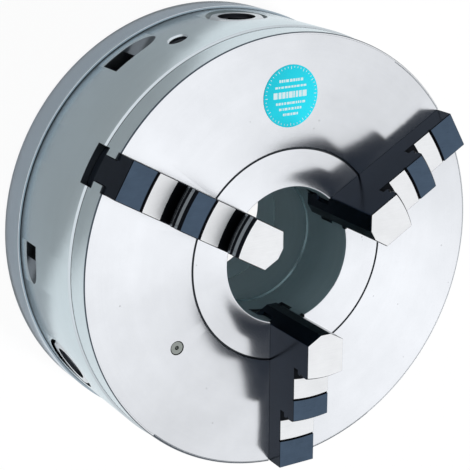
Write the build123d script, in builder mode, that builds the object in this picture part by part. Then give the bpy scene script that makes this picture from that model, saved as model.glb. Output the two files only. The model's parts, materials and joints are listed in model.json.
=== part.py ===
"""Three-jaw self-centring lathe chuck, 250 mm, with one-piece stepped jaws.

The back mounting face lies on z = 0, the spindle axis is +Z, and the jaws stand on top.
Jaws are numbered counter-clockwise from the one on -Y, pinions from the one on +Y.
"""
import os
from math import acos, cos, hypot, pi, radians, sin, sqrt, tan

from build123d import *

# ---------------------------------------------------------------- driving dimensions, mm
body_radius = 124.5
cover_ledge = 1.5
front_band_sink = 1.1
face_chamfer = 1.2
face_z = 100.0
front_band_height = 18.0
joint_share = 0.195
joint_chamfer = 0.6
cover_spigot_height = 4.0
bore_radius = 38.0
bore_chamfer = 1.0
front_bore_step = 0.9
front_bore_depth = 39.0
front_bore_chamfer = 0.5
hub_wall = 8.0
hub_groove_offset = 14.5
hub_groove_width = 1.1
hub_groove_depth = 0.7

register_wall = 24.5
register_depth = 5.0
register_chamfer = 0.8
back_chamfer = 1.0
ledge_chamfer = 0.3
bolt_circle_inset = 12.5
mount_thread_radius = 5.1
mount_thread_end_z = 44.0

# scroll: a disc with a spiral thread in front and bevel teeth behind
scroll_wall = 21.0
collar_share = 0.525
scroll_pitch = 10.0
thread_height = 6.7
thread_thickness = 4.9
thread_start_land = 6.0
thread_end_land = 1.5
thread_start_angle = 90.0
arcs_per_turn = 8

# bevel gears: every tooth line runs through the crossing of the scroll and pinion axes
scroll_teeth = 84
pinion_teeth = 12
pressure_angle = 25.0
gear_face_width = 18.0
gear_land = 8.5
root_margin = 0.5
addendum_modules = 0.8
dedendum_modules = 1.05

# pinions
pinion_angles = [90.0, 210.0, 330.0]
pinion_shoulder = 0.12
pinion_floor_gap = 4.5
pinion_sink = 0.8
pinion_chamfer = 1.2
shank_gap = 0.6
pinion_groove_depth = 3.5
pinion_groove_width = 5.0
pinion_groove_sink = 11.0
journal_radius = 5.0
journal_share = 0.213
journal_roof = 3.5
socket_size = 13.0
socket_depth = 23.0
socket_mouth_radius = 10.6
socket_mouth_depth = 2.0
pinion_mouth_chamfer = 1.6

# jaws: levels stand above the face, radii are those of the middle of each face at rest
jaw_angles = [270.0, 30.0, 150.0]
jaw_half_width = 11.3
jaw_levels = [11.6, 24.8, 38.1]
riser_radii = [89.2, 59.2]
jaw_end_sink = 2.8
nose_reach = 4.3
nose_half_land = 3.05
nose_bevel_angle = 30.0
guide_top_depth = 3.0
guide_height = 10.0
guide_groove_depth = 3.9
slot_depth = 24.0
seat_width = 16.45
seat_line_width = 1.0
seat_line_depth = 0.8
relief_height = 3.6
relief_depth = 2.6
rib_height = 2.9
rib_gap = 1.7
rib_depth = 0.9
rabbet_height = 1.4
thinnest_tooth = 2.5

# side windows beside each jaw, cut in square and running out round: clockwise one, then the other
window_sides = [-1, 1]
window_heights = [15.2, 12.4]
window_edge_angles = [23.4, 26.0]
window_run_angles = [37.9, 36.2]
window_middle_angle = 30.0
window_rise = 14.8
window_depth = 16.5
window_run_depth = 1.3
window_run_slope = 25.0

# fasteners and small parts
cover_screw_offset = 13.0
cover_screw_radius = 4.0
cover_screw_head_radius = 6.5
cover_screw_head_height = 8.0
cover_screw_sink = 9.0
cover_screw_end_z = 35.0
hex_across_flats = 6.0
hex_depth = 4.5
dowel_angles = [290.0, 130.0]
dowel_radius = 4.0
dowel_bottom_z = 8.0
dowel_top_z = 25.0
dowel_chamfer = 0.6
stop_screw_clear = 2.5
stop_screw_start_z = 2.0
stop_screw_end_z = 27.0
stop_dog_radius = 2.4
stop_hex_across_flats = 4.0
stop_dog_reach = 8.5
lifting_angle = 110.3
lifting_drop = 28.0
lifting_radius = 5.1
lifting_depth = 18.0
oiler_radius = 3.5
oiler_depth = 8.0
oiler_sink = 0.3
oiler_cap_height = 3.1
oiler_place_radius = 81.0
oiler_angle = 210.0
oiler_hole_radius = 1.2
oiler_ball_radius = 1.9
oil_way_radius = 1.0
badge_radius = 17.0
badge_thickness = 0.4
badge_inset = 32.7
badge_angle = 90.0

# ---------------------------------------------------------------- clearances
running_clearance = 0.06
thrust_clearance = 0.05
slot_clearance = 0.1
jaw_floor_clearance = 0.3
scroll_floor_clearance = 0.3
thread_clearance = 0.2
thread_tip_clearance = 0.7
ceiling_clearance = 0.4
cavity_clearance = 1.0
flank_clearance = 0.14
screw_clearance = 0.05
spigot_clearance = 0.05
dog_clearance = 0.1
skirt_clearance = 1.0
screw_head_clearance = 0.2
oiler_ball_clearance = 0.3
thread_margin = 1.5
overcut = 1.0

# ---------------------------------------------------------------- derived values
cover_radius = body_radius + cover_ledge
front_band_radius = body_radius - front_band_sink
face_radius = front_band_radius - face_chamfer
step_z = face_z - front_band_height
joint_z = face_z * joint_share
front_bore_radius = bore_radius + front_bore_step
front_bore_z = face_z - front_bore_depth
nose_radius = bore_radius - nose_reach
hub_radius = bore_radius + hub_wall
hub_groove_radius = hub_radius + hub_groove_offset
register_radius = body_radius - register_wall
bolt_circle_radius = body_radius - bolt_circle_inset
scroll_radius = body_radius - scroll_wall
slot_floor_z = face_z - slot_depth
scroll_floor_z = slot_floor_z - scroll_floor_clearance
thread_top_z = scroll_floor_z + thread_height
thread_start_radius = hub_radius + thread_start_land
thread_end_radius = scroll_radius - thread_end_land - thread_thickness / 2
thread_arcs = int((thread_end_radius - thread_start_radius) / scroll_pitch * arcs_per_turn)
ceiling_z = thread_top_z + ceiling_clearance
cavity_radius = scroll_radius + cavity_clearance
jaw_bottom_z = slot_floor_z + jaw_floor_clearance
jaw_end_radius = body_radius - jaw_end_sink
guide_top_z = face_z - guide_top_depth
guide_bottom_z = guide_top_z - guide_height
slot_half_width = jaw_half_width + slot_clearance
web_half_width = jaw_half_width - guide_groove_depth
gear_outer_radius = scroll_radius - gear_land
gear_inner_radius = gear_outer_radius - gear_face_width
module = 2 * gear_outer_radius / scroll_teeth
pinion_pitch_radius = module * pinion_teeth / 2
addendum = addendum_modules * module
dedendum = dedendum_modules * module
gear_scale = gear_inner_radius / gear_outer_radius
root_slope = (pinion_pitch_radius + dedendum) / gear_outer_radius
root_start = gear_inner_radius - root_margin
root_end = gear_outer_radius + root_margin
scroll_hub_radius = hub_radius + (root_start - hub_radius) * collar_share
journal_end_radius = hub_radius + (root_start - hub_radius) * journal_share
pinion_radius = pinion_pitch_radius + addendum + pinion_shoulder
pinion_end_radius = body_radius - pinion_sink
pinion_groove_place = body_radius - pinion_groove_sink
pinion_groove_radius = pinion_radius - pinion_groove_depth
stop_screw_offset = pinion_groove_radius + stop_screw_clear
cover_step_z = joint_z + cover_spigot_height
pinion_axis_z = cover_step_z + pinion_floor_gap + pinion_radius
scroll_skirt_z = pinion_axis_z + pinion_radius + skirt_clearance
stop_dog_end_z = pinion_axis_z + stop_dog_reach
collar_top_z = pinion_axis_z + journal_radius + journal_roof
scroll_back_z = collar_top_z + thrust_clearance
collar_inner_radius = hub_radius + spigot_clearance
shank_start_radius = gear_outer_radius + shank_gap
lifting_z = step_z - lifting_drop
window_middle_z = joint_z + window_rise
oiler_seat_z = face_z - oiler_sink - oiler_cap_height
oiler_ball_drop = sqrt(oiler_ball_radius**2 - oiler_hole_radius**2) + screw_clearance
badge_place_radius = face_radius - badge_inset
through = 2 * body_radius


def direction(angle):
    """Unit vector in the XY plane at an angle in degrees."""
    return Vector(cos(radians(angle)), sin(radians(angle)), 0)


def radial_plane(angle, distance, z):
    """Plane facing away from the axis: its x runs counter-clockwise round it and its y runs up."""
    outward = direction(angle)
    return Plane(origin=outward * distance + Vector(0, 0, z), x_dir=direction(angle + 90), z_dir=outward)


def jaw_plane(angle, z):
    """Level plane with x along a jaw, outwards, and y counter-clockwise across it."""
    return Plane(origin=(0, 0, z), x_dir=direction(angle), z_dir=(0, 0, 1))


def polar(radius, angle):
    """Point on a circle round the axis."""
    return (radius * cos(radians(angle)), radius * sin(radians(angle)))


def thread_radius(turns):
    """Radius of the middle of the scroll thread, so many turns from its inner end."""
    return thread_start_radius + scroll_pitch * turns


def thread_point(turns, offset):
    """Point beside the middle of the scroll thread."""
    return polar(thread_radius(turns) + offset, thread_start_angle + 360 * turns)


def involute_half_angle(radius, base_radius, pitch_half_angle):
    """Half the angle that a pinion tooth covers at a radius."""
    alpha = acos(min(1.0, base_radius / radius))
    pitch_alpha = radians(pressure_angle)
    return pitch_half_angle + tan(pitch_alpha) - pitch_alpha - tan(alpha) + alpha


def pinion_section(plane, scale):
    """Cross-section of the pinion's teeth, scaled towards the crossing of the axes."""
    pitch_radius = pinion_pitch_radius * scale
    base_radius = pitch_radius * cos(radians(pressure_angle))
    tip_radius = (pinion_pitch_radius + addendum) * scale
    root_radius = (pinion_pitch_radius - dedendum) * scale
    pitch_half = pi / (2 * pinion_teeth) - flank_clearance / pinion_pitch_radius
    with BuildSketch(plane) as section:
        with BuildLine():
            for tooth in range(pinion_teeth):
                middle = -pi / 2 + (tooth + 0.5) * 2 * pi / pinion_teeth
                flank = []
                for radius in (base_radius, pitch_radius, tip_radius):
                    half = involute_half_angle(radius, base_radius, pitch_half)
                    flank.append((radius, half))
                base_half = flank[0][1]
                right = [(r * cos(middle - h), r * sin(middle - h)) for r, h in flank]
                left = [(r * cos(middle + h), r * sin(middle + h)) for r, h in flank]
                root_right = (root_radius * cos(middle - base_half), root_radius * sin(middle - base_half))
                root_left = (root_radius * cos(middle + base_half), root_radius * sin(middle + base_half))
                next_angle = middle + 2 * pi / pinion_teeth - base_half
                next_root = (root_radius * cos(next_angle), root_radius * sin(next_angle))
                Line(root_right, right[0])
                ThreePointArc(right[0], right[1], right[2])
                Line(right[2], left[2])
                ThreePointArc(left[2], left[1], left[0])
                Line(left[0], root_left)
                Line(root_left, next_root)
        make_face()
    return section.sketch


def crown_section(plane, scale):
    """Cross-section of one bevel tooth of the scroll, scaled towards the crossing of the axes."""
    slope = tan(radians(pressure_angle))
    pitch_half = pi * module / 4 - flank_clearance
    bury = 0.4
    tip_half = (pitch_half - addendum * slope) * scale
    root_half = (pitch_half + (dedendum + bury) * slope) * scale
    tip_height = (pinion_pitch_radius - addendum) * scale
    root_height = (pinion_pitch_radius + dedendum + bury) * scale
    with BuildSketch(plane) as section:
        with BuildLine():
            Polyline((-tip_half, tip_height), (tip_half, tip_height), (root_half, root_height),
                     (-root_half, root_height), close=True)
        make_face()
    return section.sketch


def jaw_outline(outer_radius, flat_end):
    """Plan of a jaw at one level: bevelled nose, straight flanks, and a flat or round outer end."""
    bevel_run = (jaw_half_width - nose_half_land) * tan(radians(nose_bevel_angle))
    shoulder = nose_radius + bevel_run
    corner = outer_radius if flat_end else sqrt(outer_radius**2 - jaw_half_width**2)
    with BuildLine() as outline:
        Polyline((corner, -jaw_half_width), (shoulder, -jaw_half_width), (nose_radius, -nose_half_land),
                 (nose_radius, nose_half_land), (shoulder, jaw_half_width), (corner, jaw_half_width))
        if flat_end:
            Line((corner, jaw_half_width), (corner, -jaw_half_width))
        else:
            ThreePointArc((corner, jaw_half_width), (outer_radius, 0), (corner, -jaw_half_width))
    return outline.line


def tooth_groove(middle_radius, tilt):
    """Plan of one groove under a jaw, shaped to clear the thread at every radius that it meets."""
    half_gap = thread_thickness / 2 + thread_clearance
    reach = jaw_half_width + 2 * overcut
    tightest = thread_start_radius - thread_thickness / 2 - thread_margin
    widest = scroll_radius
    inner_end = -half_gap - (tightest - sqrt(tightest**2 - reach**2))
    outer_end = half_gap - (widest - sqrt(widest**2 - reach**2))

    def place(along, across):
        x = middle_radius + along * cos(tilt) + across * sin(tilt)
        return (x, across * cos(tilt) - along * sin(tilt))

    opens_at_nose = middle_radius - half_gap < nose_radius + thinnest_tooth
    opens_at_end = middle_radius + half_gap > jaw_end_radius - thinnest_tooth
    with BuildLine() as outline:
        if opens_at_end:
            far = jaw_end_radius + reach - middle_radius
            Polyline(place(outer_end, -reach), place(far, -reach), place(far, reach),
                     place(outer_end, reach))
        else:
            ThreePointArc(place(outer_end, -reach), place(half_gap, 0), place(outer_end, reach))
        if opens_at_nose:
            near = nose_radius - reach - middle_radius
            Polyline(place(outer_end, reach), place(near, reach), place(near, -reach),
                     place(outer_end, -reach))
        else:
            Line(place(outer_end, reach), place(inner_end, reach))
            ThreePointArc(place(inner_end, reach), place(-half_gap, 0), place(inner_end, -reach))
            Line(place(inner_end, -reach), place(outer_end, -reach))
    return outline.line


def ring_cut(inner_radius, outer_radius, bottom_z, height):
    """Take a flat ring round the chuck's axis out of the part being built."""
    with BuildSketch(Plane.XY.offset(bottom_z)) as ring:
        Circle(outer_radius)
        Circle(inner_radius, mode=Mode.SUBTRACT)
    extrude(ring.sketch, amount=height, mode=Mode.SUBTRACT)


def drill(place, radius, bottom_z, top_z):
    """Take an upright round hole out of the part being built."""
    with BuildSketch(Plane.XY.offset(bottom_z)) as hole:
        with Locations(place):
            Circle(radius)
    extrude(hole.sketch, amount=top_z - bottom_z, mode=Mode.SUBTRACT)


def stop_screw_place(angle):
    """Place of a pinion's stop screw, beside the pinion's axis."""
    x, y = polar(pinion_groove_place, angle)
    return (x - stop_screw_offset * sin(radians(angle)), y + stop_screw_offset * cos(radians(angle)))


os.makedirs("parts", exist_ok=True)


def write(item, name):
    """Label a finished piece and write its file."""
    item.part.label = name
    export_step(item.part, f"parts/{name}.step")


cover_screw_places = [polar(bolt_circle_radius, angle + side * cover_screw_offset)
                      for angle in jaw_angles for side in (-1, 1)]
mount_places = [polar(bolt_circle_radius, angle) for angle in jaw_angles]
dowel_places = [polar(bolt_circle_radius, angle) for angle in dowel_angles]
windows = list(zip(window_sides, window_heights, window_edge_angles, window_run_angles))
oiler_place = polar(oiler_place_radius, oiler_angle)

# ---------------------------------------------------------------- chuck body
with BuildPart() as chuck_body:
    with BuildSketch(Plane.XZ):
        with BuildLine():
            Polyline(
                (bore_radius + bore_chamfer, register_depth), (bore_radius, register_depth + bore_chamfer),
                (bore_radius, front_bore_z - (front_bore_radius - bore_radius)),
                (front_bore_radius, front_bore_z), (front_bore_radius, face_z - front_bore_chamfer),
                (front_bore_radius + front_bore_chamfer, face_z),
                (face_radius, face_z), (front_band_radius, face_z - face_chamfer),
                (front_band_radius, step_z + front_band_sink), (body_radius, step_z),
                (body_radius, joint_z + joint_chamfer), (body_radius - joint_chamfer, joint_z),
                (cavity_radius, joint_z), (cavity_radius, ceiling_z), (hub_radius, ceiling_z),
                (hub_radius, register_depth), close=True)
        make_face()
    revolve(axis=Axis.Z)
    ring_cut(hub_groove_radius - hub_groove_width / 2, hub_groove_radius + hub_groove_width / 2,
             face_z - hub_groove_depth, hub_groove_depth)
    for angle in jaw_angles:
        with BuildSketch(radial_plane(angle, 0, 0)):
            with Locations((0, (slot_floor_z + guide_bottom_z) / 2)):
                Rectangle(2 * slot_half_width, guide_bottom_z - slot_floor_z)
            with Locations((0, (slot_floor_z + face_z) / 2 + overcut)):
                Rectangle(2 * (web_half_width + slot_clearance), slot_depth + 2 * overcut)
            with Locations((0, (guide_top_z + face_z) / 2 + overcut)):
                Rectangle(2 * slot_half_width, guide_top_depth + 2 * overcut)
        extrude(amount=through, mode=Mode.SUBTRACT)
        drill(polar(bolt_circle_radius, angle), mount_thread_radius, joint_z, mount_thread_end_z)
        for side, height, edge_angle, run_angle in windows:
            edge_x = body_radius * sin(radians(edge_angle - window_middle_angle)) * side
            middle_angle = angle + side * window_middle_angle
            with BuildSketch(radial_plane(middle_angle, body_radius - window_depth, window_middle_z)):
                with Locations((edge_x / 2, 0)):
                    Rectangle(abs(edge_x), height)
            extrude(amount=body_radius, mode=Mode.SUBTRACT)
            run = radians(run_angle - window_middle_angle)
            slope = radians(window_run_slope)
            run_point = Vector(body_radius - window_run_depth, body_radius * sin(run) * side, 0)
            along = Vector(sin(slope), cos(slope) * side, 0)
            outward = Vector(cos(slope), -sin(slope) * side, 0)
            tool_centre = run_point + outward * (height / 2)
            tool_start = tool_centre - along * ((tool_centre.Y * side) / cos(slope))
            frame = Plane(origin=(0, 0, window_middle_z), x_dir=direction(middle_angle), z_dir=(0, 0, 1))
            axis_origin = frame.from_local_coords(tool_start)
            axis_far = frame.from_local_coords(tool_start + along)
            with BuildSketch(Plane(origin=axis_origin, z_dir=axis_far - axis_origin)):
                Circle(height / 2)
            extrude(amount=through, mode=Mode.SUBTRACT)
    for angle in pinion_angles:
        hole_radius = pinion_radius + running_clearance
        with BuildSketch(radial_plane(angle, cavity_radius - 2 * overcut, pinion_axis_z)):
            Circle(hole_radius)
        extrude(amount=body_radius, mode=Mode.SUBTRACT)
        mouth_start = sqrt(body_radius**2 - hole_radius**2) - pinion_mouth_chamfer
        with BuildSketch(radial_plane(angle, mouth_start, pinion_axis_z)):
            Circle(hole_radius)
        extrude(amount=body_radius + overcut - mouth_start, taper=-45, mode=Mode.SUBTRACT)
        drill(stop_screw_place(angle), cover_screw_radius + screw_clearance, joint_z, stop_screw_end_z)
        drill(stop_screw_place(angle), stop_dog_radius + dog_clearance, stop_screw_end_z,
              stop_dog_end_z + dog_clearance)
    for place in cover_screw_places:
        drill(place, cover_screw_radius + screw_clearance, joint_z,
              cover_screw_end_z + overcut)
    for place in dowel_places:
        drill(place, dowel_radius + screw_clearance, joint_z, dowel_top_z)
    drill(oiler_place, oiler_radius + screw_clearance, face_z - oiler_depth, face_z)
    drill(oiler_place, oil_way_radius, ceiling_z, face_z)
    with BuildSketch(radial_plane(lifting_angle, body_radius - lifting_depth, lifting_z)):
        Circle(lifting_radius)
    extrude(amount=2 * lifting_depth, mode=Mode.SUBTRACT)
write(chuck_body, "chuck_body")

# ---------------------------------------------------------------- rear cover
with BuildPart() as rear_cover:
    with BuildSketch(Plane.XZ):
        with BuildLine():
            Polyline(
                (collar_inner_radius, register_depth), (register_radius, register_depth),
                (register_radius, register_chamfer), (register_radius + register_chamfer, 0),
                (cover_radius - back_chamfer, 0), (cover_radius, back_chamfer),
                (cover_radius, joint_z - ledge_chamfer), (cover_radius - ledge_chamfer, joint_z),
                (cavity_radius - spigot_clearance, joint_z), (cavity_radius - spigot_clearance, cover_step_z),
                (scroll_hub_radius, cover_step_z), (scroll_hub_radius, collar_top_z),
                (collar_inner_radius, collar_top_z), close=True)
        make_face()
    revolve(axis=Axis.Z)
    for place in mount_places:
        drill(place, mount_thread_radius, 0, joint_z)
    for place in cover_screw_places:
        drill(place, cover_screw_head_radius + screw_head_clearance, 0, cover_screw_sink)
        drill(place, cover_screw_radius + screw_clearance, cover_screw_sink, joint_z)
    for place in dowel_places:
        drill(place, dowel_radius + screw_clearance, dowel_bottom_z, joint_z)
    for angle in pinion_angles:
        drill(stop_screw_place(angle), cover_screw_radius + screw_clearance, 0, joint_z)
        with BuildSketch(radial_plane(angle, journal_end_radius - overcut, pinion_axis_z)):
            Circle(journal_radius + running_clearance)
        extrude(amount=scroll_hub_radius - journal_end_radius + 2 * overcut, mode=Mode.SUBTRACT)
write(rear_cover, "rear_cover")

# ---------------------------------------------------------------- scroll
with BuildPart() as crown_tooth:
    loft([crown_section(radial_plane(0, gear_inner_radius, pinion_axis_z), gear_scale),
          crown_section(radial_plane(0, gear_outer_radius, pinion_axis_z), 1.0)], ruled=True)

with BuildPart() as scroll:
    with BuildSketch(Plane.XZ):
        with BuildLine():
            Polyline(
                (hub_radius + running_clearance, scroll_back_z), (scroll_hub_radius, scroll_back_z),
                (root_start, pinion_axis_z + root_slope * root_start),
                (root_end, pinion_axis_z + root_slope * root_end),
                (root_end, scroll_skirt_z), (scroll_radius, scroll_skirt_z), (scroll_radius, scroll_floor_z),
                (hub_radius + running_clearance, scroll_floor_z), close=True)
        make_face()
    revolve(axis=Axis.Z)
    with BuildSketch(Plane.XY.offset(scroll_floor_z)):
        with BuildLine():
            half = thread_thickness / 2
            for index in range(thread_arcs):
                start, middle, end = (index / arcs_per_turn, (index + 0.5) / arcs_per_turn,
                                      (index + 1) / arcs_per_turn)
                ThreePointArc(thread_point(start, half), thread_point(middle, half), thread_point(end, half))
                ThreePointArc(thread_point(start, -half), thread_point(middle, -half),
                              thread_point(end, -half))
            last = thread_arcs / arcs_per_turn
            Line(thread_point(0, -half), thread_point(0, half))
            Line(thread_point(last, -half), thread_point(last, half))
        make_face()
    extrude(amount=thread_height)
    with PolarLocations(0, scroll_teeth, start_angle=pinion_angles[0]):
        add(crown_tooth.part)
write(scroll, "scroll")

# ---------------------------------------------------------------- pinions
for number, angle in enumerate(pinion_angles, start=1):
    with BuildPart() as pinion:
        loft([pinion_section(radial_plane(angle, gear_inner_radius, pinion_axis_z), gear_scale),
              pinion_section(radial_plane(angle, gear_outer_radius, pinion_axis_z), 1.0)], ruled=True)
        with BuildSketch(radial_plane(angle, gear_outer_radius, pinion_axis_z)):
            Circle(pinion_pitch_radius - dedendum)
        extrude(amount=shank_start_radius - gear_outer_radius)
        with BuildSketch(radial_plane(angle, shank_start_radius, pinion_axis_z)):
            Circle(pinion_radius)
        extrude(amount=pinion_end_radius - shank_start_radius - pinion_chamfer)
        with BuildSketch(radial_plane(angle, pinion_end_radius - pinion_chamfer, pinion_axis_z)):
            Circle(pinion_radius)
        extrude(amount=pinion_chamfer, taper=45)
        with BuildSketch(radial_plane(angle, pinion_groove_place - pinion_groove_width / 2, pinion_axis_z)):
            Circle(pinion_radius + overcut)
            Circle(pinion_groove_radius, mode=Mode.SUBTRACT)
        extrude(amount=pinion_groove_width, mode=Mode.SUBTRACT)
        with BuildSketch(radial_plane(angle, journal_end_radius, pinion_axis_z)):
            Circle(journal_radius)
        extrude(amount=gear_inner_radius - journal_end_radius)
        with BuildSketch(radial_plane(angle, pinion_end_radius - socket_depth, pinion_axis_z)):
            Rectangle(socket_size, socket_size, rotation=45)
        extrude(amount=socket_depth, mode=Mode.SUBTRACT)
        with BuildSketch(radial_plane(angle, pinion_end_radius - socket_mouth_depth, pinion_axis_z)):
            Circle(socket_mouth_radius)
        extrude(amount=socket_mouth_depth, mode=Mode.SUBTRACT)
    write(pinion, f"pinion_{number}")

# ---------------------------------------------------------------- jaws
for number, angle in enumerate(jaw_angles, start=1):
    with BuildPart() as jaw:
        tops = [face_z + level for level in jaw_levels]
        bottoms = [jaw_bottom_z] + tops[:-1]
        ends = [jaw_end_radius] + riser_radii
        for bottom, top, end in zip(bottoms, tops, ends):
            with BuildSketch(jaw_plane(angle, bottom)):
                make_face(jaw_outline(end, flat_end=end == jaw_end_radius))
            extrude(amount=top - bottom)
        for side in (-1, 1):
            with BuildSketch(jaw_plane(angle, guide_bottom_z - slot_clearance)):
                with Locations(((nose_radius + jaw_end_radius) / 2, side * jaw_half_width)):
                    Rectangle(jaw_end_radius, 2 * guide_groove_depth)
            extrude(amount=guide_height + 2 * slot_clearance, mode=Mode.SUBTRACT)
        turns_here = ((angle - thread_start_angle) % 360) / 360
        radius = thread_radius(turns_here)
        while radius - scroll_pitch > nose_radius - thread_thickness:
            radius -= scroll_pitch
        tilt = scroll_pitch / (2 * pi * (thread_start_radius + scroll_radius) / 2)
        while radius < jaw_end_radius + thread_thickness / 2:
            with BuildSketch(jaw_plane(angle, jaw_bottom_z)):
                make_face(tooth_groove(radius, tilt))
            extrude(amount=thread_top_z + thread_tip_clearance - jaw_bottom_z, mode=Mode.SUBTRACT)
            radius += scroll_pitch
        for level, top, riser in zip(tops, tops[1:], riser_radii):
            ring_cut(riser - relief_depth, riser + overcut, level, relief_height)
            ring_cut(riser - rib_depth, riser + overcut, level + relief_height + rib_height, rib_gap)
            ring_cut(riser - rib_depth, riser + overcut, top - rabbet_height, rabbet_height)
            seat = riser + seat_width
            ring_cut(seat - seat_line_width / 2, seat + seat_line_width / 2, level - seat_line_depth,
                     seat_line_depth)
    write(jaw, f"jaw_{number}")

# ---------------------------------------------------------------- cover screws
for number, place in enumerate(cover_screw_places, start=1):
    with BuildPart() as cover_screw:
        head_z = cover_screw_sink - cover_screw_head_height
        with BuildSketch(Plane.XY.offset(head_z)):
            with Locations(place):
                Circle(cover_screw_head_radius)
        extrude(amount=cover_screw_head_height)
        with BuildSketch(Plane.XY.offset(cover_screw_sink)):
            with Locations(place):
                Circle(cover_screw_radius)
        extrude(amount=cover_screw_end_z - cover_screw_sink)
        with BuildSketch(Plane.XY.offset(head_z)):
            with Locations(place):
                RegularPolygon(hex_across_flats / 2, 6, major_radius=False)
        extrude(amount=hex_depth, mode=Mode.SUBTRACT)
    write(cover_screw, f"cover_screw_{number}")

# ---------------------------------------------------------------- pinion stop screws
for number, angle in enumerate(pinion_angles, start=1):
    with BuildPart() as stop_screw:
        with BuildSketch(Plane.XY.offset(stop_screw_start_z)):
            with Locations(stop_screw_place(angle)):
                Circle(cover_screw_radius)
        extrude(amount=stop_screw_end_z - stop_screw_start_z - screw_clearance)
        with BuildSketch(Plane.XY.offset(stop_screw_start_z)):
            with Locations(stop_screw_place(angle)):
                Circle(stop_dog_radius)
        extrude(amount=stop_dog_end_z - stop_screw_start_z)
        with BuildSketch(Plane.XY.offset(stop_screw_start_z)):
            with Locations(stop_screw_place(angle)):
                RegularPolygon(stop_hex_across_flats / 2, 6, major_radius=False)
        extrude(amount=hex_depth, mode=Mode.SUBTRACT)
    write(stop_screw, f"pinion_stop_screw_{number}")

# ---------------------------------------------------------------- dowels
for number, place in enumerate(dowel_places, start=1):
    with BuildPart() as dowel:
        with BuildSketch(Plane.XY.offset(dowel_bottom_z)):
            with Locations(place):
                Circle(dowel_radius)
        extrude(amount=dowel_top_z - dowel_bottom_z)
        chamfer(dowel.edges().filter_by(GeomType.CIRCLE), dowel_chamfer)
    write(dowel, f"cover_dowel_{number}")

# ---------------------------------------------------------------- oiler
with BuildPart() as oiler:
    with BuildSketch(Plane.XY.offset(face_z - oiler_depth)):
        with Locations(oiler_place):
            Circle(oiler_radius)
    extrude(amount=oiler_depth - oiler_sink)
    drill(oiler_place, oiler_ball_radius + oiler_ball_clearance, face_z - oiler_depth, oiler_seat_z)
    drill(oiler_place, oiler_hole_radius, oiler_seat_z, face_z)
write(oiler, "oiler_body")

with BuildPart() as oiler_ball:
    with Locations((*oiler_place, oiler_seat_z - oiler_ball_drop)):
        Sphere(oiler_ball_radius)
write(oiler_ball, "oiler_ball")

# ---------------------------------------------------------------- badge
with BuildPart() as badge:
    with BuildSketch(Plane.XY.offset(face_z)):
        with Locations(polar(badge_place_radius, badge_angle)):
            Circle(badge_radius)
    extrude(amount=badge_thickness)
write(badge, "badge")
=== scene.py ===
"""Looks of a three-jaw self-centring lathe chuck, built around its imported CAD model.

The chuck stands on its back face with the jaws up. Sizes are in millimetres and are turned into
metres where a mesh is made. The body and the cover are turned and cut here, the jaws, pinions and
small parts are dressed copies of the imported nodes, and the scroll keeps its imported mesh.
"""
from __future__ import annotations

import json
import logging
import math
import random
from collections.abc import Callable, Iterable
from dataclasses import dataclass, field
from enum import Enum

import bpy
from mathutils import Matrix, Vector

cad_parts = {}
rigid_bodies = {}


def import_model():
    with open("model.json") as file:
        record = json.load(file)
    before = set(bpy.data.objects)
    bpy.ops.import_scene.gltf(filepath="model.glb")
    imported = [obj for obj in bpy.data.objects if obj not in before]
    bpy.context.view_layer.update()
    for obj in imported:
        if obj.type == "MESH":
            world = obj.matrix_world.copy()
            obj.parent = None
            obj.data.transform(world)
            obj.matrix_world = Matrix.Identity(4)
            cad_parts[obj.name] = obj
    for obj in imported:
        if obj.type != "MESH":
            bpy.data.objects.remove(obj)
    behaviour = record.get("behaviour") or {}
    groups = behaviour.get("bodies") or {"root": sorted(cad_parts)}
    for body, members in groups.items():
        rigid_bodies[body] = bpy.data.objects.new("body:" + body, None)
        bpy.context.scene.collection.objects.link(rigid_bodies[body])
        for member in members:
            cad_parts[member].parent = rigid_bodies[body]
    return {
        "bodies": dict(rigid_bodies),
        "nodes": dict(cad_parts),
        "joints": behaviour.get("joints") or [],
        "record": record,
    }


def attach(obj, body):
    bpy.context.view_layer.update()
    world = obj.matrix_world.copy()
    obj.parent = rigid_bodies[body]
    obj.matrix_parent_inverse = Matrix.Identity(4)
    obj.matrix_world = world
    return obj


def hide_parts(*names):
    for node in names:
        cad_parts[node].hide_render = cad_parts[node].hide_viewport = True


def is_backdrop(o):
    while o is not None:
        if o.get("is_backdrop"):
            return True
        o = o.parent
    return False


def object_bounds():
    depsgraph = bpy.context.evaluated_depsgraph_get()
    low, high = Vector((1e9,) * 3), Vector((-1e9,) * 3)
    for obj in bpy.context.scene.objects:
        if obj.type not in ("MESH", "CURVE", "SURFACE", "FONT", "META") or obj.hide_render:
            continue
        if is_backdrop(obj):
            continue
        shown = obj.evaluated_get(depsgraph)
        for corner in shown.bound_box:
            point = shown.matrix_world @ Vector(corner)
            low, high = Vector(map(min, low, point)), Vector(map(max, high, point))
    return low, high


LOG = logging.getLogger("chuck")
MM = 0.001
FULL_TURN = 2 * math.pi
JAW_ANGLES = {1: 270.0, 2: 30.0, 3: 150.0}
PINION_ANGLES = {1: 90.0, 2: 210.0, 3: 330.0}

Colour = tuple[float, float, float]
Point = tuple[float, float]


# ---------------------------------------------------------------- modelling helpers
def deselect() -> None:
    """Leaves nothing selected and no mesh in edit mode."""
    if bpy.context.object and bpy.context.object.mode != "OBJECT":
        bpy.ops.object.mode_set(mode="OBJECT")
    bpy.ops.object.select_all(action="DESELECT")


def activate(obj: bpy.types.Object) -> None:
    """Makes one object the only selected one and the active one."""
    deselect()
    obj.select_set(True)
    bpy.context.view_layer.objects.active = obj


def edit_all(obj: bpy.types.Object) -> None:
    """Opens an object in edit mode with all of it selected."""
    activate(obj)
    bpy.ops.object.mode_set(mode="EDIT")
    bpy.ops.mesh.select_all(action="SELECT")


def close_edit() -> None:
    """Goes back to object mode."""
    bpy.ops.object.mode_set(mode="OBJECT")


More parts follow.
